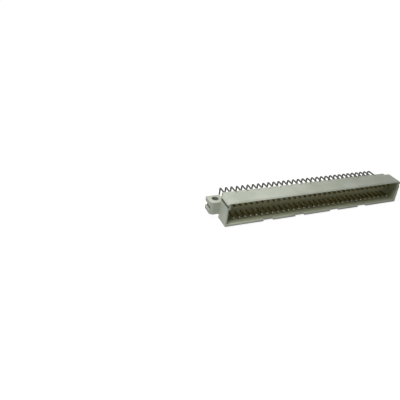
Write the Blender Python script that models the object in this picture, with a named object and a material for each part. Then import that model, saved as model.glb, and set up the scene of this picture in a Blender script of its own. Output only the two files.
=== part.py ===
"""Right-angle backplane connector: a shrouded plug with two rows of bent contacts.

Metres, +Z up. X runs along the connector, the mating face looks to -Y, and the solder tails
end at Z = 0. The origin is under the middle of the whole part.
"""
import math

import bmesh
import bpy

MM = 0.001

# Contact grid
PITCH = 2.54 * MM
COLUMNS = 32
ROW_SPACING = 5.08 * MM              # row a above row c, with the middle row left empty

# Contacts, square wire
CONTACT_SIZE = 0.6 * MM
CONTACT_POINT = 0.26 * MM            # width left at the very tips
TIP_TAPER = 1.0 * MM
TAIL_TAPER = 0.7 * MM
BEND_RADIUS = 0.25 * MM              # inside of the bend
BEND_STEPS = 4
TIP_RECESS = 1.6 * MM                # contact tips behind the mating face
TAIL_BELOW_BOARD = 2.85 * MM
ROW_A_TAIL_FROM_FACE = 17.2 * MM     # middle of the tail, from the mating face
PASSAGE_CLEARANCE = 0.15 * MM        # round a contact of row a where it goes through the housing

# Shroud
SHROUD_END_MARGIN = 4.23 * MM        # past the middle of the last contact at each end
SHROUD_HEIGHT = 10.9 * MM
SHROUD_BELOW_BOARD = 1.75 * MM
CAVITY_DEPTH = 6.2 * MM
CAVITY_BACK_WALL = 0.8 * MM          # what the shroud adds behind its cavity
END_WALL = 0.92 * MM
END_DRAFT = 0.3 * MM                 # how far the end faces lean in from bottom to top
LOWER_WALL = 1.1 * MM
UPPER_WALL = 0.9 * MM
KEY_STEP_WIDTH = 0.75 * MM           # the cavity is narrower along its top, so it mates one way up
KEY_STEP_HEIGHT = 2.4 * MM
ROW_C_ABOVE_UNDERSIDE = 2.56 * MM

# V groove along both end faces, under the top plate
GROOVE_DEPTH = 0.85 * MM
GROOVE_BELOW_TOP = 1.85 * MM
GROOVE_LOWER_SLOPE = 1.35            # rise over run below the bottom of the V
TOP_PLATE_EDGE = 1.3 * MM            # height of the top plate's side
TOP_PLATE_EDGE_INSET = 0.26 * MM     # at the foot of that side
TOP_PLATE_DRAFT = 0.1 * MM           # further in at the chamfer
TOP_PLATE_CHAMFER = 0.9 * MM

RIM_CHAMFER = 0.5 * MM               # along the front edge of the shroud's top

# Shallow notches in the mating rim's lower edge
RIM_NOTCH_WIDTH = 4.5 * MM
RIM_NOTCH_DEPTH = 0.8 * MM
RIM_NOTCH_COLUMNS = (-9.5, -3.5, 3.5, 9.5)   # from the middle, in pitches

# Block behind the shroud, which holds the contacts
BLOCK_DEPTH = 2.05 * MM              # behind the shroud
LEDGE_DROP = 0.5 * MM                # below the shroud's top
BLOCK_END_INSET = 1.3 * MM           # in from the shroud's ends
LEDGE_SLOT_WIDTH = 0.7 * MM
LEDGE_SLOT_DEPTH = 0.8 * MM
LEDGE_SLOT_PAST_COLUMN = 0.57 * MM   # middle of the slot, from the column before it
POCKET_WIDTH = 1.5 * MM
POCKET_HEIGHT = 1.2 * MM
POCKET_DEPTH = 0.9 * MM

# Mounting ears
HOLE_BEYOND_SHROUD = 0.85 * MM       # middle of the hole, past the shroud's end
HOLE_DIAMETER = 2.8 * MM
HOLE_FROM_FACE = 10.0 * MM
EAR_AROUND_HOLE = 3.05 * MM          # from the hole's middle to the ear's end, front and root
EAR_BEHIND_HOLE = 2.65 * MM
EAR_HEIGHT = 5.55 * MM
EAR_CORNER_RADIUS = 1.8 * MM         # of the outer front corner
END_SLOT_ABOVE_SEAT = 1.65 * MM      # the slot along the ear's end, open behind
END_SLOT_HEIGHT = 1.95 * MM
END_SLOT_DEPTH = 0.9 * MM
END_SLOT_BEFORE_HOLE = 2.1 * MM      # how far it reaches in front of the hole's middle
ROUND_SIDES = 40

CUT_MARGIN = 1.0 * MM                # how far a cutter runs past the face that it opens

# Places worked out from the sizes above
HALF_CONTACT = CONTACT_SIZE / 2
SHROUD_LENGTH = (COLUMNS - 1) * PITCH + 2 * SHROUD_END_MARGIN
HOLE_SPACING = SHROUD_LENGTH + 2 * HOLE_BEYOND_SHROUD
TOTAL_DEPTH = ROW_A_TAIL_FROM_FACE + HALF_CONTACT
FACE_Y = -TOTAL_DEPTH / 2
CAVITY_BACK_Y = FACE_Y + CAVITY_DEPTH
SHROUD_BACK_Y = CAVITY_BACK_Y + CAVITY_BACK_WALL
BLOCK_BACK_Y = SHROUD_BACK_Y + BLOCK_DEPTH
HOLE_Y = FACE_Y + HOLE_FROM_FACE
HALF_LENGTH = SHROUD_LENGTH / 2
SEAT_Z = TAIL_BELOW_BOARD
UNDERSIDE_Z = SEAT_Z - SHROUD_BELOW_BOARD
TOP_Z = UNDERSIDE_Z + SHROUD_HEIGHT
ROW_C_Z = UNDERSIDE_Z + ROW_C_ABOVE_UNDERSIDE
ROW_B_Z = ROW_C_Z + ROW_SPACING / 2
ROW_A_Z = ROW_C_Z + ROW_SPACING
ROW_A_TAIL_Y = FACE_Y + ROW_A_TAIL_FROM_FACE
ROW_C_TAIL_Y = ROW_A_TAIL_Y - ROW_SPACING
EAR_TOP_Z = SEAT_Z + EAR_HEIGHT
BLOCK_HALF_LENGTH = HALF_LENGTH - BLOCK_END_INSET
LAST_TAB_END_X = (COLUMNS / 2) * PITCH


def column_x(column):
    """X of a contact column, counted from 1 at the -X end."""
    return (column - (COLUMNS + 1) / 2) * PITCH


def clear_scene():
    for thing in list(bpy.data.objects):
        bpy.data.objects.remove(thing)


def make_collection(name):
    collection = bpy.data.collections.new(name)
    bpy.context.scene.collection.children.link(collection)
    return collection


def make_material(name, colour, roughness, metallic):
    material = bpy.data.materials.new(name)
    material.use_nodes = True
    shader = material.node_tree.nodes["Principled BSDF"]
    shader.inputs["Base Color"].default_value = (*colour, 1.0)
    shader.inputs["Roughness"].default_value = roughness
    shader.inputs["Metallic"].default_value = metallic
    return material


def add_object(name, mesh, collection):
    thing = bpy.data.objects.new(name, mesh)
    collection.objects.link(thing)
    return thing


def box_mesh(name, boxes):
    """One mesh of separate boxes, each given by its low and high corner."""
    shape = bmesh.new()
    for low, high in boxes:
        made = bmesh.ops.create_cube(shape, size=1.0)
        size = [b - a for a, b in zip(low, high)]
        middle = [(a + b) / 2 for a, b in zip(low, high)]
        bmesh.ops.scale(shape, vec=size, verts=made["verts"])
        bmesh.ops.translate(shape, vec=middle, verts=made["verts"])
    mesh = bpy.data.meshes.new(name)
    shape.to_mesh(mesh)
    shape.free()
    return mesh


def upright_cylinders_mesh(name, places, radius, low_z, high_z):
    shape = bmesh.new()
    for x, y in places:
        made = bmesh.ops.create_cone(shape, cap_ends=True, segments=ROUND_SIDES,
                                     radius1=radius, radius2=radius, depth=high_z - low_z)
        bmesh.ops.translate(shape, vec=(x, y, (low_z + high_z) / 2), verts=made["verts"])
    mesh = bpy.data.meshes.new(name)
    shape.to_mesh(mesh)
    shape.free()
    return mesh


def outline_mesh(name, outline, thickness):
    """A flat closed outline, filled and given a thickness about its own plane."""
    curve = bpy.data.curves.new(name, "CURVE")
    curve.dimensions = "2D"
    curve.fill_mode = "BOTH"
    curve.extrude = thickness / 2
    spline = curve.splines.new("POLY")
    spline.points.add(len(outline) - 1)
    for point, (u, v) in zip(spline.points, outline):
        point.co = (u, v, 0.0, 1.0)
    spline.use_cyclic_u = True
    holder = bpy.data.objects.new(name, curve)
    bpy.context.scene.collection.objects.link(holder)
    graph = bpy.context.evaluated_depsgraph_get()
    mesh = bpy.data.meshes.new_from_object(holder.evaluated_get(graph))
    bpy.data.objects.remove(holder)
    bpy.data.curves.remove(curve)
    mesh.name = name
    shape = bmesh.new()
    shape.from_mesh(mesh)
    bmesh.ops.remove_doubles(shape, verts=shape.verts, dist=0.0005 * MM)
    bmesh.ops.recalc_face_normals(shape, faces=shape.faces)
    shape.to_mesh(mesh)
    shape.free()
    return mesh


def copies_mesh(name, source, places):
    """One mesh that holds a copy of source at each place."""
    shape = bmesh.new()
    for place in places:
        first = len(shape.verts)
        shape.from_mesh(source)
        shape.verts.ensure_lookup_table()
        bmesh.ops.translate(shape, vec=place, verts=shape.verts[first:])
    mesh = bpy.data.meshes.new(name)
    shape.to_mesh(mesh)
    shape.free()
    return mesh


def turn_outline(mesh, plane):
    """Stands an outline up: its own axes become Y and Z, or X and Z."""
    columns = {"yz": ((0, 1, 0), (0, 0, 1), (1, 0, 0)), "xz": ((1, 0, 0), (0, 0, 1), (0, -1, 0))}[plane]
    shape = bmesh.new()
    shape.from_mesh(mesh)
    for vertex in shape.verts:
        u, v, w = vertex.co
        vertex.co = [u * columns[0][i] + v * columns[1][i] + w * columns[2][i] for i in range(3)]
    shape.to_mesh(mesh)
    shape.free()
    return mesh


def boolean(target, mesh, collection, operation):
    tool = add_object(mesh.name, mesh, collection)
    tool.display_type = "WIRE"
    tool.hide_render = True
    modifier = target.modifiers.new(mesh.name, "BOOLEAN")
    modifier.operation = operation
    modifier.solver = "EXACT"
    modifier.object = tool


def contact_outline(row_z, tail_y):
    """Side view of a contact in Y and Z: tip, straight run, bend, tail."""
    tip_y = FACE_Y + TIP_RECESS
    half_point = CONTACT_POINT / 2
    outer_radius = BEND_RADIUS + CONTACT_SIZE
    centre_y = tail_y + HALF_CONTACT - outer_radius
    centre_z = row_z + HALF_CONTACT - outer_radius
    quarter = [math.pi / 2 * step / BEND_STEPS for step in range(BEND_STEPS + 1)]
    outer = [(centre_y + outer_radius * math.sin(a), centre_z + outer_radius * math.cos(a)) for a in quarter]
    inner = [(centre_y + BEND_RADIUS * math.cos(a), centre_z + BEND_RADIUS * math.sin(a)) for a in quarter]
    return [(tip_y, row_z + half_point), (tip_y + TIP_TAPER, row_z + HALF_CONTACT), *outer,
            (tail_y + HALF_CONTACT, TAIL_TAPER), (tail_y + half_point, 0.0),
            (tail_y - half_point, 0.0), (tail_y - HALF_CONTACT, TAIL_TAPER), *inner,
            (tip_y + TIP_TAPER, row_z - HALF_CONTACT), (tip_y, row_z - half_point)]


def contact_mesh(name, row_z, tail_y):
    return turn_outline(outline_mesh(name, contact_outline(row_z, tail_y), CONTACT_SIZE), "yz")


def along_depth(name, outline, low_y, high_y):
    """An outline in X and Z, run along Y from low_y to high_y."""
    mesh = turn_outline(outline_mesh(name, outline, high_y - low_y), "xz")
    return copies_mesh(name, mesh, [(0.0, (low_y + high_y) / 2, 0.0)])


def shroud_outline():
    """Front view of the shroud, a little narrower at the top."""
    top_half = HALF_LENGTH - END_DRAFT
    return [(-HALF_LENGTH, UNDERSIDE_Z), (HALF_LENGTH, UNDERSIDE_Z), (top_half, TOP_Z), (-top_half, TOP_Z)]


def block_outline():
    """Back view of the block: full width below, and short of the +X end above the ears."""
    return [(-BLOCK_HALF_LENGTH, SEAT_Z), (BLOCK_HALF_LENGTH, SEAT_Z), (BLOCK_HALF_LENGTH, EAR_TOP_Z),
            (LAST_TAB_END_X, EAR_TOP_Z), (LAST_TAB_END_X, TOP_Z - LEDGE_DROP),
            (-BLOCK_HALF_LENGTH, TOP_Z - LEDGE_DROP)]


def ear_outline(side):
    """Plan of an ear: square, with its outer front corner rounded."""
    outer_x = HOLE_SPACING / 2 + EAR_AROUND_HOLE
    inner_x = HOLE_SPACING / 2 - EAR_AROUND_HOLE
    front_y = HOLE_Y - EAR_AROUND_HOLE
    back_y = HOLE_Y + EAR_BEHIND_HOLE
    centre_x = outer_x - EAR_CORNER_RADIUS
    centre_y = front_y + EAR_CORNER_RADIUS
    steps = ROUND_SIDES // 4
    quarter = [math.pi / 2 * step / steps for step in range(steps + 1)]
    corner = [(centre_x + EAR_CORNER_RADIUS * math.cos(a), centre_y - EAR_CORNER_RADIUS * math.sin(a))
              for a in quarter]
    plan = [(outer_x, back_y), *corner, (inner_x, front_y), (inner_x, back_y)]
    return [(side * x, y) for x, y in plan]


def ears_mesh():
    """Both ears, standing on the board."""
    shape = bmesh.new()
    for side in (-1, 1):
        first = len(shape.verts)
        shape.from_mesh(outline_mesh("ear", ear_outline(side), EAR_HEIGHT))
        shape.verts.ensure_lookup_table()
        bmesh.ops.translate(shape, vec=(0.0, 0.0, SEAT_Z + EAR_HEIGHT / 2), verts=shape.verts[first:])
    mesh = bpy.data.meshes.new("ears")
    shape.to_mesh(mesh)
    shape.free()
    return mesh


def cavity_outline():
    """Front view of the cavity: the full width below, a step in at each end above."""
    wide = HALF_LENGTH - END_WALL
    narrow = wide - KEY_STEP_WIDTH
    floor_z = UNDERSIDE_Z + LOWER_WALL
    ceiling_z = TOP_Z - UPPER_WALL
    step_z = ceiling_z - KEY_STEP_HEIGHT
    return [(-wide, floor_z), (wide, floor_z), (wide, step_z), (narrow, step_z), (narrow, ceiling_z),
            (-narrow, ceiling_z), (-narrow, step_z), (-wide, step_z)]


def end_groove_outline(side):
    """Front view of what is cut from an end: the V groove, and the top plate's chamfer."""
    vertex_z = TOP_Z - GROOVE_BELOW_TOP
    outside = HALF_LENGTH + CUT_MARGIN
    side_foot_x = HALF_LENGTH - TOP_PLATE_EDGE_INSET
    side_top_x = side_foot_x - TOP_PLATE_DRAFT
    plate_x = side_top_x - TOP_PLATE_CHAMFER
    outline = [(outside, vertex_z - GROOVE_LOWER_SLOPE * (GROOVE_DEPTH + CUT_MARGIN)),
               (HALF_LENGTH - GROOVE_DEPTH, vertex_z), (side_foot_x, TOP_Z - TOP_PLATE_EDGE),
               (side_top_x, TOP_Z - TOP_PLATE_CHAMFER), (plate_x, TOP_Z), (plate_x, TOP_Z + CUT_MARGIN),
               (outside, TOP_Z + CUT_MARGIN)]
    return [(side * x, z) for x, z in outline]


def rim_chamfer_mesh():
    """What is cut off along the front edge of the shroud's top."""
    outline = [(FACE_Y - CUT_MARGIN, TOP_Z - RIM_CHAMFER - CUT_MARGIN),
               (FACE_Y + RIM_CHAMFER + CUT_MARGIN, TOP_Z + CUT_MARGIN),
               (FACE_Y - CUT_MARGIN, TOP_Z + CUT_MARGIN)]
    return turn_outline(outline_mesh("rim_chamfer", outline, SHROUD_LENGTH + 2 * CUT_MARGIN), "yz")


def rim_notch_boxes():
    half = RIM_NOTCH_WIDTH / 2
    return [((place * PITCH - half, FACE_Y - CUT_MARGIN, UNDERSIDE_Z - CUT_MARGIN),
             (place * PITCH + half, FACE_Y + RIM_NOTCH_DEPTH, UNDERSIDE_Z + LOWER_WALL + CUT_MARGIN))
            for place in RIM_NOTCH_COLUMNS]


def ledge_slot_boxes():
    """A slot in the ledge after each pair of columns."""
    half = LEDGE_SLOT_WIDTH / 2
    ledge_z = TOP_Z - LEDGE_DROP
    boxes = []
    for column in range(2, COLUMNS, 2):
        x = column_x(column) + LEDGE_SLOT_PAST_COLUMN
        boxes.append(((x - half, SHROUD_BACK_Y, ledge_z - LEDGE_SLOT_DEPTH),
                      (x + half, BLOCK_BACK_Y + CUT_MARGIN, ledge_z + CUT_MARGIN)))
    return boxes


def pocket_boxes():
    """A pocket round each place of the three-row grid, in the block's back."""
    boxes = []
    for row_z in (ROW_A_Z, ROW_B_Z, ROW_C_Z):
        for column in range(1, COLUMNS + 1):
            x = column_x(column)
            boxes.append(((x - POCKET_WIDTH / 2, BLOCK_BACK_Y - POCKET_DEPTH, row_z - POCKET_HEIGHT / 2),
                          (x + POCKET_WIDTH / 2, BLOCK_BACK_Y + CUT_MARGIN, row_z + POCKET_HEIGHT / 2)))
    return boxes


def passage_boxes():
    """The holes that the contacts of row a go through."""
    half = HALF_CONTACT + PASSAGE_CLEARANCE
    return [((column_x(column) - half, CAVITY_BACK_Y - CUT_MARGIN, ROW_A_Z - half),
             (column_x(column) + half, BLOCK_BACK_Y + CUT_MARGIN, ROW_A_Z + half))
            for column in range(1, COLUMNS + 1)]


def end_slot_boxes():
    """The slot along the end of each ear, from just inside its front out through its back."""
    outer_x = HOLE_SPACING / 2 + EAR_AROUND_HOLE
    low_z = SEAT_Z + END_SLOT_ABOVE_SEAT
    boxes = []
    for side in (-1, 1):
        ends = sorted((side * (outer_x - END_SLOT_DEPTH), side * (outer_x + CUT_MARGIN)))
        boxes.append(((ends[0], HOLE_Y - END_SLOT_BEFORE_HOLE, low_z),
                      (ends[1], HOLE_Y + EAR_BEHIND_HOLE + CUT_MARGIN, low_z + END_SLOT_HEIGHT)))
    return boxes


def make_housing(parts, cutters, plastic):
    """The moulding, with the contacts of row c set in it."""
    shroud = along_depth("shroud_blank", shroud_outline(), FACE_Y, SHROUD_BACK_Y)
    housing = add_object("housing", shroud, parts)
    housing.data.materials.append(plastic)
    block = along_depth("block", block_outline(), CAVITY_BACK_Y, BLOCK_BACK_Y)
    boolean(housing, block, cutters, "UNION")
    boolean(housing, ears_mesh(), cutters, "UNION")
    cavity = along_depth("cavity", cavity_outline(), FACE_Y - CUT_MARGIN, CAVITY_BACK_Y)
    boolean(housing, cavity, cutters, "DIFFERENCE")
    for side, name in ((-1, "left_end_groove"), (1, "right_end_groove")):
        groove = along_depth(name, end_groove_outline(side), FACE_Y - CUT_MARGIN, SHROUD_BACK_Y)
        boolean(housing, groove, cutters, "DIFFERENCE")
    boolean(housing, rim_chamfer_mesh(), cutters, "DIFFERENCE")
    boolean(housing, box_mesh("rim_notches", rim_notch_boxes()), cutters, "DIFFERENCE")
    boolean(housing, box_mesh("ledge_slots", ledge_slot_boxes()), cutters, "DIFFERENCE")
    holes = [(side * HOLE_SPACING / 2, HOLE_Y) for side in (-1, 1)]
    hole_mesh = upright_cylinders_mesh("ear_holes", holes, HOLE_DIAMETER / 2,
                                       SEAT_Z - CUT_MARGIN, EAR_TOP_Z + CUT_MARGIN)
    boolean(housing, hole_mesh, cutters, "DIFFERENCE")
    boolean(housing, box_mesh("end_slots", end_slot_boxes()), cutters, "DIFFERENCE")
    boolean(housing, box_mesh("back_pockets", pocket_boxes()), cutters, "DIFFERENCE")
    boolean(housing, box_mesh("passages", passage_boxes()), cutters, "DIFFERENCE")
    row_c = copies_mesh("row_c_contacts", contact_mesh("row_c_contact", ROW_C_Z, ROW_C_TAIL_Y),
                        [(column_x(column), 0.0, 0.0) for column in range(1, COLUMNS + 1)])
    boolean(housing, row_c, cutters, "UNION")


def make_row_a(parts, metal):
    mesh = contact_mesh("row_a_contact", ROW_A_Z, ROW_A_TAIL_Y)
    mesh.materials.append(metal)
    for column in range(1, COLUMNS + 1):
        contact = add_object(f"row_a_contact_{column:02d}", mesh, parts)
        contact.location.x = column_x(column)


def main():
    clear_scene()
    parts = make_collection("backplane_connector")
    cutters = make_collection("cutters")
    plastic = make_material("pebble_grey_polyester", (0.51, 0.54, 0.46), 0.5, 0.0)
    metal = make_material("plated_copper_alloy", (0.62, 0.56, 0.42), 0.3, 1.0)
    make_housing(parts, cutters, plastic)
    make_row_a(parts, metal)


main()
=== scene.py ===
import math
import random

import bmesh
import bpy
from mathutils import Euler, Matrix, Vector


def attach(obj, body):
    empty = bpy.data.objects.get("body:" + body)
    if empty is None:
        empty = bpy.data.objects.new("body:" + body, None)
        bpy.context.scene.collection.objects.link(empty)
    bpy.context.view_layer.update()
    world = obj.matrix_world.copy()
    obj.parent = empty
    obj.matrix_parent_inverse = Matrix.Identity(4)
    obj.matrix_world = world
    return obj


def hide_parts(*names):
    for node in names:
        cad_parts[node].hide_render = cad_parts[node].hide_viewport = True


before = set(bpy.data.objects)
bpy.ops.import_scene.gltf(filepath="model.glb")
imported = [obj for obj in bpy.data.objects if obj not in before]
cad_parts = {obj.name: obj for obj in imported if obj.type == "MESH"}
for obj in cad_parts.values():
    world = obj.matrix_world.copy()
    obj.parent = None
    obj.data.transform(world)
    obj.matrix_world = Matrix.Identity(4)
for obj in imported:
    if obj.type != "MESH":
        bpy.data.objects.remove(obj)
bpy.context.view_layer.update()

mm = 0.001
overcut = 1     # how far a cutter reaches past the surface that it cuts

# What every piece shares. All sizes below are in millimetres and all colours are sRGB hex
grid = {
    "pitch": 2.54,
    "columns": 32,
    "rowA": 8.74,
    "rowB": 6.2,
    "rowC": 3.66,
    "matingFace": -8.75,
}


def columnX(column):
    return (column - (grid["columns"] + 1) / 2) * grid["pitch"]


def columns():
    return range(1, grid["columns"] + 1)


def linear(hexColour):
    values = [int(hexColour[i:i + 2], 16) / 255 for i in (1, 3, 5)]
    return tuple(v / 12.92 if v <= 0.04045 else ((v + 0.055) / 1.055) ** 2.4 for v in values) + (1.0,)


def addNode(tree, kind, settings=None, inputs=None):
    node = tree.nodes.new("ShaderNode" + kind)
    for name, value in (settings or {}).items():
        setattr(node, name, value)
    for name, value in (inputs or {}).items():
        if isinstance(value, bpy.types.NodeSocket):
            tree.links.new(value, node.inputs[name])
        else:
            node.inputs[name].default_value = value
    return node


def newMaterial(name):
    material = bpy.data.materials.new(name)
    material.use_nodes = True
    tree = material.node_tree
    tree.nodes.clear()
    return material, tree


def millimetres(tree):
    # no object is scaled, so its own coordinates times 1000 are millimetres
    place = addNode(tree, "TexCoord")
    scaled = addNode(tree, "VectorMath", {"operation": "SCALE"},
                     {0: place.outputs["Object"], "Scale": 1 / mm})
    return scaled.outputs[0]


def fadeAlong(tree, place, axis, start, end, first, second):
    # one colour turns smoothly into another between two places along an axis
    axes = addNode(tree, "SeparateXYZ", {}, {"Vector": place})
    along = addNode(tree, "MapRange", {"interpolation_type": "SMOOTHSTEP"},
                    {"Value": axes.outputs[axis], "From Min": start, "From Max": end})
    mixed = addNode(tree, "Mix", {"data_type": "RGBA"}, {0: along.outputs["Result"], 6: first, 7: second})
    return mixed.outputs[2]


plastic = {
    "colour": "#BEC4B5",
    "paler": "#C6CBBD",
    "darker": "#B2B8A8",
    "roughness": 0.58,
    "roughnessSpread": (-0.06, 0.08),
    "ior": 1.57,
    "flowMarkSize": 9.0,
    "flowDetail": 3.0,
    "flowStops": (0.3, 0.5, 0.7),   # where the three shades stand in the flow marks' pattern
    "fibreSize": 0.28,              # real fibres are 0.01 thick, drawn this coarse so that they show
    "fibreDetail": 2.0,
    "fibreHeight": 0.006,
    "fibreStrength": 0.6,
    # painted shade: the cavity's inside darkens to this colour towards its back
    "paintedCavityShade": "#AEB396",
    "cavityShadeFade": (-1.2, 0.6),      # where the painted shade begins and is full, from the mating face
    # painted shade: the ear holes' walls take this darker palette
    "bore": "#90968A",
    "borePaler": "#989E91",
    "boreDarker": "#888E81",
    # painted shade: the end grooves darken to this below the V
    "groove": "#464B3E",
    "grooveShadeFade": (0.85, 0.6),      # where the painted shade begins and is full, below the bottom of the V
}


def glassFilledPolyester(name, colours, fade=None):
    # moulded polyester with short glass fibre: an even satin grey-green with faint flow marks, whose
    # surface is very slightly pebbled where fibres lie under the skin. Painted shade: a fade darkens the
    # colour into the cavity and down into the end grooves, and the bores get a darker palette, where
    # less light reaches. A fade is an axis, where it starts and ends along it,
    # and the colour that it ends in
    material, tree = newMaterial(name)
    place = millimetres(tree)
    flow = addNode(tree, "TexNoise", {}, {"Vector": place, "Scale": 1 / plastic["flowMarkSize"],
                                          "Detail": plastic["flowDetail"]})
    ramp = addNode(tree, "ValToRGB", {}, {"Fac": flow.outputs["Fac"]})
    first, middle, last = plastic["flowStops"]
    ramp.color_ramp.elements[0].position = first
    ramp.color_ramp.elements[0].color = linear(plastic[colours[0]])
    ramp.color_ramp.elements[1].position = last
    ramp.color_ramp.elements[1].color = linear(plastic[colours[2]])
    ramp.color_ramp.elements.new(middle).color = linear(plastic[colours[1]])
    colour = ramp.outputs["Color"]
    if fade:
        axis, start, end, towards = fade
        colour = fadeAlong(tree, place, axis, start, end, colour, linear(plastic[towards]))
    fibre = addNode(tree, "TexNoise", {}, {"Vector": place, "Scale": 1 / plastic["fibreSize"],
                                           "Detail": plastic["fibreDetail"]})
    smoother, rougher = plastic["roughnessSpread"]
    rough = addNode(tree, "MapRange", {}, {"Value": fibre.outputs["Fac"],
                                           "To Min": plastic["roughness"] + smoother,
                                           "To Max": plastic["roughness"] + rougher})
    bump = addNode(tree, "Bump", {}, {"Height": fibre.outputs["Fac"], "Strength": plastic["fibreStrength"],
                                      "Distance": plastic["fibreHeight"] * mm})
    shader = addNode(tree, "BsdfPrincipled", {}, {"Base Color": colour,
                                                  "Roughness": rough.outputs["Result"],
                                                  "Normal": bump.outputs["Normal"], "IOR": plastic["ior"]})
    addNode(tree, "OutputMaterial", {}, {"Surface": shader.outputs[0]})
    return material


plating = {
    "gold": "#A38F58",
    # painted highlight: the near-white colour of the lit tips
    "goldPaintedHighlight": "#F4EBD2",
    "highlightFade": (0.35, 0.7),           # how far behind the tip the painted highlight starts to fade, and ends
    "goldRoughness": 0.3,
    "tin": "#5B5E56",
    "tinRoughness": 0.42,
    "roughnessSpread": (-0.08, 0.1),
    "drawLineSize": 0.12,
    "drawLineStretch": (1.0, 0.08, 0.5),
    "drawLineDetail": 2.0,
    "drawLineHeight": 0.004,
    "drawLineStrength": 0.4,
}


def platedMetal(name, colour, roughness, highlightColour=None):
    # drawn square wire under a thin plating: long faint die lines break up the shine along its length,
    # and the tip can be given a painted highlight, near white, that fades out behind it
    material, tree = newMaterial(name)
    place = millimetres(tree)
    across = addNode(tree, "VectorMath", {"operation": "MULTIPLY"}, {0: place, 1: plating["drawLineStretch"]})
    lines = addNode(tree, "TexNoise", {}, {"Vector": across.outputs[0], "Scale": 1 / plating["drawLineSize"],
                                           "Detail": plating["drawLineDetail"]})
    smoother, rougher = plating["roughnessSpread"]
    rough = addNode(tree, "MapRange", {}, {"Value": lines.outputs["Fac"], "To Min": roughness + smoother,
                                           "To Max": roughness + rougher})
    bump = addNode(tree, "Bump", {}, {"Height": lines.outputs["Fac"], "Strength": plating["drawLineStrength"],
                                      "Distance": plating["drawLineHeight"] * mm})
    shine = linear(colour)
    if highlightColour:
        start, end = (contact["tipY"] + behind for behind in plating["highlightFade"])
        shine = fadeAlong(tree, place, "Y", start, end, linear(highlightColour), shine)
    shader = addNode(tree, "BsdfPrincipled", {}, {"Base Color": shine, "Metallic": 1.0,
                                                  "Roughness": rough.outputs["Result"],
                                                  "Normal": bump.outputs["Normal"]})
    addNode(tree, "OutputMaterial", {}, {"Surface": shader.outputs[0]})
    return material


housing = {
    "halfLength": 43.6,
    "endDraft": 0.3,        # how far the end faces lean in from bottom to top
    "underside": 1.1,
    "top": 12.0,
    "shroudBack": -1.75,
    "cavityBack": -2.55,
    "endWall": 0.92,
    "lowerWall": 1.1,
    "upperWall": 0.9,
    "keyStepWidth": 0.75,
    "keyStepHeight": 2.4,
    "leadIn": 0.3,
    "leadInPast": 0.3,      # how far its cutter goes on in front of the mating face
    "grooveDepth": 0.85,
    "grooveBelowTop": 1.85,
    "grooveSlope": 1.35,
    "plateEdge": 1.3,
    "plateEdgeInset": 0.26,
    "plateDraft": 0.1,
    "plateChamfer": 0.9,
    "rimChamfer": 0.5,      # along the outside of the upper wall's rim
    "notchWidth": 4.5,
    "notchDepth": 0.8,
    "notchPlaces": (-24.13, -8.89, 8.89, 24.13),
    "blockBack": 0.3,
    "blockInset": 1.3,
    "blockShortEnd": 40.64,
    "ledgeDrop": 0.5,
    "seat": 2.85,
    "slotWidth": 0.7,
    "slotDepth": 0.8,
    "slotPastColumn": 0.57,
    "pocket": (1.5, 1.2, 0.9),      # width, height, depth
    "passage": 0.9,
    "emptyPassage": (0.7, 1.1),     # width and depth of the middle row's, which end in the moulding
    "edgeRadius": 0.1,
    "edgeSegments": 2,
    "edgeRoundedFrom": 25,          # degrees between two faces
    "shadedSharpFrom": 40,
    "flatWithin": 0.5,              # degrees at which two faces count as one
    "weldedWithin": 0.001,
    "skinMargin": 0.05,             # what a face's middle may be off by to count as in the cavity or bore
    "grooveShadeZone": (0.3, 0.8, 0.5),  # the part in painted shade: in from the end, below and above the bottom of the V
}

ear = {
    "holeX": 44.45,
    "holeY": 1.25,
    "holeRadius": 1.4,
    "holeSteps": 48,
    "boreMargin": 0.01,
    "aroundHole": 3.05,
    "behindHole": 2.65,
    "top": 8.4,
    "cornerRadius": 1.8,
    "cornerSteps": 12,
    "slotLow": 4.5,         # the nut's slot, which is open behind
    "slotHigh": 6.45,
    "slotDepth": 0.9,
    "slotInFront": 2.1,     # how far it reaches in front of the hole's middle
}


def meshFrom(name, shape):
    mesh = bpy.data.meshes.new(name)
    shape.to_mesh(mesh)
    shape.free()
    return mesh


def boxes(name, corners):
    shape = bmesh.new()
    for low, high in corners:
        made = bmesh.ops.create_cube(shape, size=1.0)["verts"]
        bmesh.ops.scale(shape, vec=[(b - a) * mm for a, b in zip(low, high)], verts=made)
        bmesh.ops.translate(shape, vec=[(a + b) / 2 * mm for a, b in zip(low, high)], verts=made)
    return meshFrom(name, shape)


def prisms(name, pieces, axis):
    # each piece is an outline, and where it starts and ends along the axis
    shape = bmesh.new()
    for outline, low, high in pieces:
        def point(u, v, w):
            return Vector({"x": (w, u, v), "y": (u, w, v), "z": (u, v, w)}[axis]) * mm
        face = shape.faces.new([shape.verts.new(point(u, v, low)) for u, v in outline])
        pushed = bmesh.ops.extrude_face_region(shape, geom=[face])["geom"]
        moved = [item for item in pushed if isinstance(item, bmesh.types.BMVert)]
        bmesh.ops.translate(shape, vec=point(0, 0, high - low), verts=moved)
    bmesh.ops.recalc_face_normals(shape, faces=shape.faces)
    return meshFrom(name, shape)


def frustum(name, lowOutline, highOutline, low, high):
    # a lead-in: one outline at the low y and another with as many corners at the high y
    shape = bmesh.new()
    rings = [[shape.verts.new(Vector((u, y, v)) * mm) for u, v in outline]
             for outline, y in ((lowOutline, low), (highOutline, high))]
    count = len(lowOutline)
    for i in range(count):
        j = (i + 1) % count
        shape.faces.new((rings[0][i], rings[0][j], rings[1][j], rings[1][i]))
    shape.faces.new(rings[0])
    shape.faces.new(rings[1])
    bmesh.ops.recalc_face_normals(shape, faces=shape.faces)
    return meshFrom(name, shape)


def newObject(name, mesh):
    thing = bpy.data.objects.new(name, mesh)
    bpy.context.scene.collection.objects.link(thing)
    return thing


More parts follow.
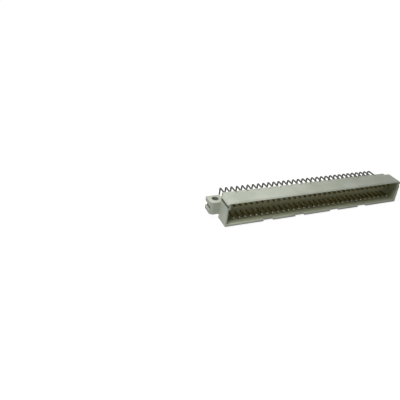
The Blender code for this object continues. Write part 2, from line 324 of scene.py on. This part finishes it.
def carve(target, steps):
    # applies each (mesh, operation) to the target in turn, then drops the cutters
    cutters = []
    for mesh, operation in steps:
        cutter = newObject(mesh.name, mesh)
        cutters.append(cutter)
        modifier = target.modifiers.new(mesh.name, "BOOLEAN")
        modifier.operation = operation
        modifier.solver = "EXACT"
        modifier.object = cutter
    graph = bpy.context.evaluated_depsgraph_get()
    finished = bpy.data.meshes.new_from_object(target.evaluated_get(graph))
    target.modifiers.clear()
    target.data = finished
    for cutter in cutters:
        bpy.data.objects.remove(cutter)


def cavityOutline(margin=0.0):
    wide = housing["halfLength"] - housing["endWall"] + margin
    narrow = wide - housing["keyStepWidth"]
    floorZ = housing["underside"] + housing["lowerWall"] - margin
    ceilingZ = housing["top"] - housing["upperWall"] + margin
    stepZ = housing["top"] - housing["upperWall"] - housing["keyStepHeight"] + margin
    return [(-wide, floorZ), (wide, floorZ), (wide, stepZ), (narrow, stepZ), (narrow, ceilingZ),
            (-narrow, ceilingZ), (-narrow, stepZ), (-wide, stepZ)]


def blockOutline():
    half = housing["halfLength"] - housing["blockInset"]
    ledge = housing["top"] - housing["ledgeDrop"]
    return [(-half, housing["seat"]), (half, housing["seat"]), (half, ear["top"]),
            (housing["blockShortEnd"], ear["top"]), (housing["blockShortEnd"], ledge), (-half, ledge)]


def shroudOutline():
    half = housing["halfLength"]
    topHalf = half - housing["endDraft"]
    return [(-half, housing["underside"]), (half, housing["underside"]), (topHalf, housing["top"]),
            (-topHalf, housing["top"])]


def grooveOutline(side):
    half = housing["halfLength"]
    top = housing["top"]
    vertexZ = top - housing["grooveBelowTop"]
    edgeX = half - housing["plateEdgeInset"]
    upperX = edgeX - housing["plateDraft"]
    outline = [(half + overcut, vertexZ - housing["grooveSlope"] * (housing["grooveDepth"] + overcut)),
               (half - housing["grooveDepth"], vertexZ), (edgeX, top - housing["plateEdge"]),
               (upperX, top - housing["plateChamfer"]), (upperX - housing["plateChamfer"], top),
               (upperX - housing["plateChamfer"], top + overcut), (half + overcut, top + overcut)]
    return [(side * x, z) for x, z in outline]


def earOutline(side):
    outerX = ear["holeX"] + ear["aroundHole"]
    innerX = ear["holeX"] - ear["aroundHole"]
    frontY = ear["holeY"] - ear["aroundHole"]
    backY = ear["holeY"] + ear["behindHole"]
    radius = ear["cornerRadius"]
    arc = [math.pi / 2 * i / ear["cornerSteps"] for i in range(ear["cornerSteps"] + 1)]
    plan = [(outerX, backY)]
    plan += [(outerX - radius + radius * math.cos(a), frontY + radius - radius * math.sin(a)) for a in arc]
    plan += [(innerX, frontY), (innerX, backY)]
    return [(side * x, y) for x, y in plan]


def rimOutline():
    face = grid["matingFace"]
    top = housing["top"]
    cut = housing["rimChamfer"]
    return [(face - overcut, top - cut - overcut), (face + cut + overcut, top + overcut),
            (face - overcut, top + overcut)]


def circle(x, y, radius, steps):
    return [(x + radius * math.cos(2 * math.pi * i / steps), y + radius * math.sin(2 * math.pi * i / steps))
            for i in range(steps)]


def squareAt(column, rowZ, size, lowY, highY):
    x = columnX(column)
    return ((x - size / 2, lowY, rowZ - size / 2), (x + size / 2, highY, rowZ + size / 2))


def housingSkin(x, y, z):
    # which finish a face has: 0 polished, 1 the cavity's painted shade, 2 the bore's painted shade, 3 the
    # groove's painted shade
    margin = housing["skinMargin"]
    half = housing["halfLength"]
    frontY = grid["matingFace"] + margin
    floorZ = housing["underside"] + housing["lowerWall"]
    ceilingZ = housing["top"] - housing["upperWall"]
    if (abs(x) < half - housing["endWall"] + margin and frontY < y < housing["cavityBack"] + margin
            and floorZ - margin < z < ceilingZ + margin):
        return 1
    fromHole = math.hypot(abs(x) - ear["holeX"], y - ear["holeY"])
    if (fromHole < ear["holeRadius"] + ear["boreMargin"]
            and housing["seat"] + margin < z < ear["top"] - margin):
        return 2
    vertexZ = housing["top"] - housing["grooveBelowTop"]
    fromEnd, below, above = housing["grooveShadeZone"]
    if (half - housing["grooveDepth"] < abs(x) < half - fromEnd and vertexZ - below < z < vertexZ + above
            and frontY < y < housing["shroudBack"] - margin):
        return 3
    return 0


def buildHousing(skins):
    face = grid["matingFace"]
    floorY = housing["cavityBack"]
    back = housing["blockBack"]
    half = housing["halfLength"]
    moulding = newObject("housingMoulding",
                         prisms("shroud", [(shroudOutline(), face, housing["shroudBack"])], "y"))

    ledge = housing["top"] - housing["ledgeDrop"]
    slotHalf = housing["slotWidth"] / 2
    slotPlaces = [columnX(c) + housing["slotPastColumn"] for c in range(2, grid["columns"], 2)]
    slots = [((x - slotHalf, housing["shroudBack"], ledge - housing["slotDepth"]),
              (x + slotHalf, back + overcut, ledge + overcut)) for x in slotPlaces]

    wide, high, deep = housing["pocket"]
    pockets = [((columnX(c) - wide / 2, back - deep, z - high / 2),
                (columnX(c) + wide / 2, back + overcut, z + high / 2))
               for z in (grid["rowA"], grid["rowB"], grid["rowC"]) for c in columns()]
    emptyWide, emptyDeep = housing["emptyPassage"]
    passages = [squareAt(c, grid["rowA"], housing["passage"], floorY - overcut, back + overcut)
                for c in columns()]
    passages += [squareAt(c, grid["rowB"], emptyWide, floorY - overcut, floorY + emptyDeep)
                 for c in columns()]

    reach = housing["notchWidth"] / 2
    lowerWallTop = housing["underside"] + housing["lowerWall"]
    notches = [((x - reach, face - overcut, housing["underside"] - overcut),
                (x + reach, face + housing["notchDepth"], lowerWallTop + overcut))
               for x in housing["notchPlaces"]]
    grooves = [(grooveOutline(side), face - overcut, housing["shroudBack"]) for side in (-1, 1)]

    ears = [(earOutline(side), housing["seat"], ear["top"]) for side in (-1, 1)]
    holes = [(circle(side * ear["holeX"], ear["holeY"], ear["holeRadius"], ear["holeSteps"]),
              housing["seat"] - overcut, ear["top"] + overcut) for side in (-1, 1)]
    outerX = ear["holeX"] + ear["aroundHole"]
    endSlots = []
    for side in (-1, 1):
        low, high = sorted((side * (outerX - ear["slotDepth"]), side * (outerX + overcut)))
        endSlots.append(((low, ear["holeY"] - ear["slotInFront"], ear["slotLow"]),
                         (high, ear["holeY"] + ear["behindHole"] + overcut, ear["slotHigh"])))

    past = housing["leadInPast"]
    carve(moulding, [
        (prisms("block", [(blockOutline(), floorY, back)], "y"), "UNION"),
        (prisms("ears", ears, "z"), "UNION"),
        (prisms("cavity", [(cavityOutline(), face - overcut, floorY)], "y"), "DIFFERENCE"),
        (frustum("leadIn", cavityOutline(housing["leadIn"] + past), cavityOutline(), face - past,
                 face + housing["leadIn"]), "DIFFERENCE"),
        (prisms("endGrooves", grooves, "y"), "DIFFERENCE"),
        (prisms("rimChamfer", [(rimOutline(), -half - overcut, half + overcut)], "x"), "DIFFERENCE"),
        (boxes("notches", notches), "DIFFERENCE"),
        (boxes("ledgeSlots", slots), "DIFFERENCE"),
        (prisms("earHoles", holes, "z"), "DIFFERENCE"),
        (boxes("endSlots", endSlots), "DIFFERENCE"),
        (boxes("pockets", pockets), "DIFFERENCE"),
        (boxes("passages", passages), "DIFFERENCE"),
    ])
    moulding.data.materials.clear()
    for skin in skins:
        moulding.data.materials.append(skin)
    shape = bmesh.new()
    shape.from_mesh(moulding.data)
    bmesh.ops.remove_doubles(shape, verts=shape.verts, dist=housing["weldedWithin"] * mm)
    bmesh.ops.dissolve_limit(shape, angle_limit=math.radians(housing["flatWithin"]), verts=shape.verts,
                             edges=shape.edges)
    for piece in shape.faces:
        piece.material_index = housingSkin(*(piece.calc_center_median() / mm))
    shape.to_mesh(moulding.data)
    shape.free()
    rounding = moulding.modifiers.new("roundedEdges", "BEVEL")
    rounding.width = housing["edgeRadius"] * mm
    rounding.segments = housing["edgeSegments"]
    rounding.limit_method = "ANGLE"
    rounding.angle_limit = math.radians(housing["edgeRoundedFrom"])
    rounding.use_clamp_overlap = True
    moulding.data.shade_smooth()
    moulding.data.set_sharp_from_angle(angle=math.radians(housing["shadedSharpFrom"]))
    return moulding


contact = {
    "size": 0.6,
    "corner": 0.07,
    "tipY": -7.15,
    "tipTaper": 1.0,
    "tipShoulder": (0.5, 0.82),     # how far along the taper it is, and its share of the full size
    "tipSize": 0.26,
    "tailTaper": 0.7,
    "tailSize": 0.26,
    "bendRadius": 0.55,     # of the wire's middle
    "bendSteps": 10,
    "rowATail": 8.45,
    "rowCTail": 3.37,
    "tinnedFrom": -1.65,
    "straightness": 0.25,   # degrees that a wire may be turned about the vertical
    "seed": 7,
    "shadedSharpFrom": 30,
}


def contactRings(rowZ, tailY):
    # middle, direction and width of the wire at each place along it, from the mating tip to the tail's end
    size = contact["size"]
    radius = contact["bendRadius"]
    along, share = contact["tipShoulder"]
    rings = [((contact["tipY"], rowZ), (1, 0), contact["tipSize"]),
             ((contact["tipY"] + contact["tipTaper"] * along, rowZ), (1, 0), size * share),
             ((contact["tipY"] + contact["tipTaper"], rowZ), (1, 0), size),
             ((contact["tinnedFrom"], rowZ), (1, 0), size)]
    for i in range(contact["bendSteps"] + 1):
        turn = math.pi / 2 * i / contact["bendSteps"]
        middle = (tailY - radius + radius * math.sin(turn), rowZ - radius + radius * math.cos(turn))
        rings.append((middle, (math.cos(turn), -math.sin(turn)), size))
    rings += [((tailY, contact["tailTaper"]), (0, -1), size), ((tailY, 0.0), (0, -1), contact["tailSize"])]
    return rings


def contactMesh(name, rowZ, tailY, gold, tin):
    shape = bmesh.new()
    lastGold = contact["tinnedFrom"] * mm + 1e-7    # with room for rounding
    loops = []
    for (y, z), (alongY, alongZ), size in contactRings(rowZ, tailY):
        half = size / 2
        cut = contact["corner"] * size / contact["size"]
        corners = [(half, half - cut), (half - cut, half), (cut - half, half), (-half, half - cut),
                   (-half, cut - half), (cut - half, -half), (half - cut, -half), (half, cut - half)]
        loops.append([shape.verts.new(Vector((u, y - v * alongZ, z + v * alongY)) * mm) for u, v in corners])
    for near, far in zip(loops, loops[1:]):
        for i in range(len(near)):
            j = (i + 1) % len(near)
            made = shape.faces.new((near[i], near[j], far[j], far[i]))
            made.material_index = 0 if far[i].co.y <= lastGold else 1
    for cap, slotNumber in ((loops[0], 0), (loops[-1], 1)):
        shape.faces.new(cap).material_index = slotNumber
    bmesh.ops.recalc_face_normals(shape, faces=shape.faces)
    mesh = meshFrom(name, shape)
    mesh.materials.append(gold)
    mesh.materials.append(tin)
    mesh.shade_smooth()
    mesh.set_sharp_from_angle(angle=math.radians(contact["shadedSharpFrom"]))
    return mesh


def buildContacts(gold, highlightedGold, tin):
    # row a stands for its own solids, and row c for the ones that the housing's solid includes
    chance = random.Random(contact["seed"])
    lean = math.radians(contact["straightness"])
    for letter, rowZ, tailY in (("A", grid["rowA"], contact["rowATail"]),
                                ("C", grid["rowC"], contact["rowCTail"])):
        # only the lower row's tips get the painted highlight, as the light reaches them and row a's lie in
        # shade
        mesh = contactMesh(f"contact{letter}", rowZ, tailY, gold if letter == "A" else highlightedGold, tin)
        for column in columns():
            wire = newObject(f"contact{letter}{column:02d}", mesh)
            turn = Matrix.Rotation(chance.uniform(-lean, lean), 4, "Z")
            wire.matrix_world = Matrix.Translation((columnX(column) * mm, 0, 0)) @ turn
            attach(wire, "root")
            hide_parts(f"row_a_contact_{column:02d}" if letter == "A" else "housing")


studio = {
    "floorColour": "#A8A8A5",
    "floorReach": 3000,
    "floorLayer": (-2, -0.01),      # its bottom and top, just under the tails' ends
    "floorGlow": (0.92, 1.0),       # round the object, and far off where the lamp doesn't reach
    "floorGlowReach": (80, 300),
    "skyForLight": 0.10,
    "cameraPlace": (-106.905, -131.53, 95.757),
    "cameraTurn": (58.9856, -6.2744, -22.9836),
    "lens": 38.3573,
    "shiftX": -0.0625,
    "sensorWidth": 36.0,
    "clipStart": 10,
    # name: (place, aimed at, width, height, watts)
    "lamps": {
        "overheadSoftbox": ((-80, -23, 130), (-20, 0, 6), 60, 25, 0.157),
    },
}


def seenByEye(tree):
    # 1 for what the camera sees, also in a shiny or clear surface, and 0 for what lights the object
    path = addNode(tree, "LightPath")
    seen = path.outputs["Is Camera Ray"]
    for ray in ("Is Glossy Ray", "Is Transmission Ray"):
        seen = addNode(tree, "Math", {"operation": "MAXIMUM"}, {0: seen, 1: path.outputs[ray]}).outputs[0]
    return seen


def buildStudio():
    reach = studio["floorReach"]
    bottom, top = studio["floorLayer"]
    floor = newObject("floor", boxes("floor", [((-reach, -reach, bottom), (reach, reach, top))]))
    material, tree = newMaterial("paleFloorPainted")
    # painted board, plain and matt: what the eye sees of it glows up to white, and the shadow stays
    matt = addNode(tree, "BsdfDiffuse", {}, {"Color": linear(studio["floorColour"])})
    away = addNode(tree, "VectorMath", {"operation": "LENGTH"}, {0: millimetres(tree)})
    strength = addNode(tree, "MapRange", {}, {
        "Value": away.outputs["Value"],
        "From Min": studio["floorGlowReach"][0], "From Max": studio["floorGlowReach"][1],
        "To Min": studio["floorGlow"][0], "To Max": studio["floorGlow"][1]})
    glow = addNode(tree, "Emission", {}, {"Color": (1, 1, 1, 1), "Strength": strength.outputs["Result"]})
    lit = addNode(tree, "AddShader", {}, {0: matt.outputs[0], 1: glow.outputs[0]})
    mixed = addNode(tree, "MixShader", {}, {0: seenByEye(tree), 1: matt.outputs[0], 2: lit.outputs[0]})
    addNode(tree, "OutputMaterial", {}, {"Surface": mixed.outputs[0]})
    floor.data.materials.append(material)

    world = bpy.data.worlds.new("studioWorld")
    world.use_nodes = True
    tree = world.node_tree
    tree.nodes.clear()
    forLight = addNode(tree, "Background", {}, {"Color": (1, 1, 1, 1), "Strength": studio["skyForLight"]})
    forEye = addNode(tree, "Background", {}, {"Color": (1, 1, 1, 1), "Strength": 1.0})
    mixed = addNode(tree, "MixShader", {}, {0: seenByEye(tree), 1: forLight.outputs[0], 2: forEye.outputs[0]})
    addNode(tree, "OutputWorld", {}, {"Surface": mixed.outputs[0]})
    bpy.context.scene.world = world

    for name, (place, target, width, height, watts) in studio["lamps"].items():
        lamp = bpy.data.lights.new(name, "AREA")
        lamp.shape = "RECTANGLE"
        lamp.size = width * mm
        lamp.size_y = height * mm
        lamp.energy = watts
        holder = newObject(name, lamp)
        holder.location = Vector(place) * mm
        holder.rotation_euler = (Vector(target) - Vector(place)).to_track_quat("-Z", "Y").to_euler()

    camera = bpy.data.cameras.new("camera")
    camera.lens = studio["lens"]
    camera.sensor_width = studio["sensorWidth"]
    camera.shift_x = studio["shiftX"]
    camera.clip_start = studio["clipStart"] * mm
    holder = newObject("camera", camera)
    holder.location = Vector(studio["cameraPlace"]) * mm
    holder.rotation_euler = Euler([math.radians(a) for a in studio["cameraTurn"]], "XYZ")
    bpy.context.scene.camera = holder
    bpy.context.scene.view_settings.view_transform = "Standard"


print("building the moulding")
polished = ("darker", "colour", "paler")
face = grid["matingFace"]
grooveZ = housing["top"] - housing["grooveBelowTop"]
# painted shade, darkening into the cavity
intoCavityShade = ("Y", face + plastic["cavityShadeFade"][0], face + plastic["cavityShadeFade"][1], "paintedCavityShade")
# painted shade, darkening down into the end grooves
intoGrooveShade = ("Z", grooveZ - plastic["grooveShadeFade"][0], grooveZ - plastic["grooveShadeFade"][1], "groove")
# painted shade in the ear holes
boreShadePalette = ("boreDarker", "bore", "borePaler")
moulding = buildHousing([glassFilledPolyester("glassFilledPolyesterPolishedMould", polished),
                         glassFilledPolyester("glassFilledPolyesterCavityPaintedShade", polished, intoCavityShade),
                         glassFilledPolyester("glassFilledPolyesterBorePaintedShade", boreShadePalette),
                         glassFilledPolyester("glassFilledPolyesterGroovePaintedShade", polished, intoGrooveShade)])
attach(moulding, "root")
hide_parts("housing")

print("building the contacts")
# the second gold carries the painted highlight on the lower row's tips
buildContacts(platedMetal("goldOverNickelPlated", plating["gold"], plating["goldRoughness"]),
              platedMetal("goldOverNickelPaintedHighlight", plating["gold"], plating["goldRoughness"],
                          plating["goldPaintedHighlight"]),
              platedMetal("matteTinPlated", plating["tin"], plating["tinRoughness"]))

print("building the studio")
buildStudio()

print("finished")
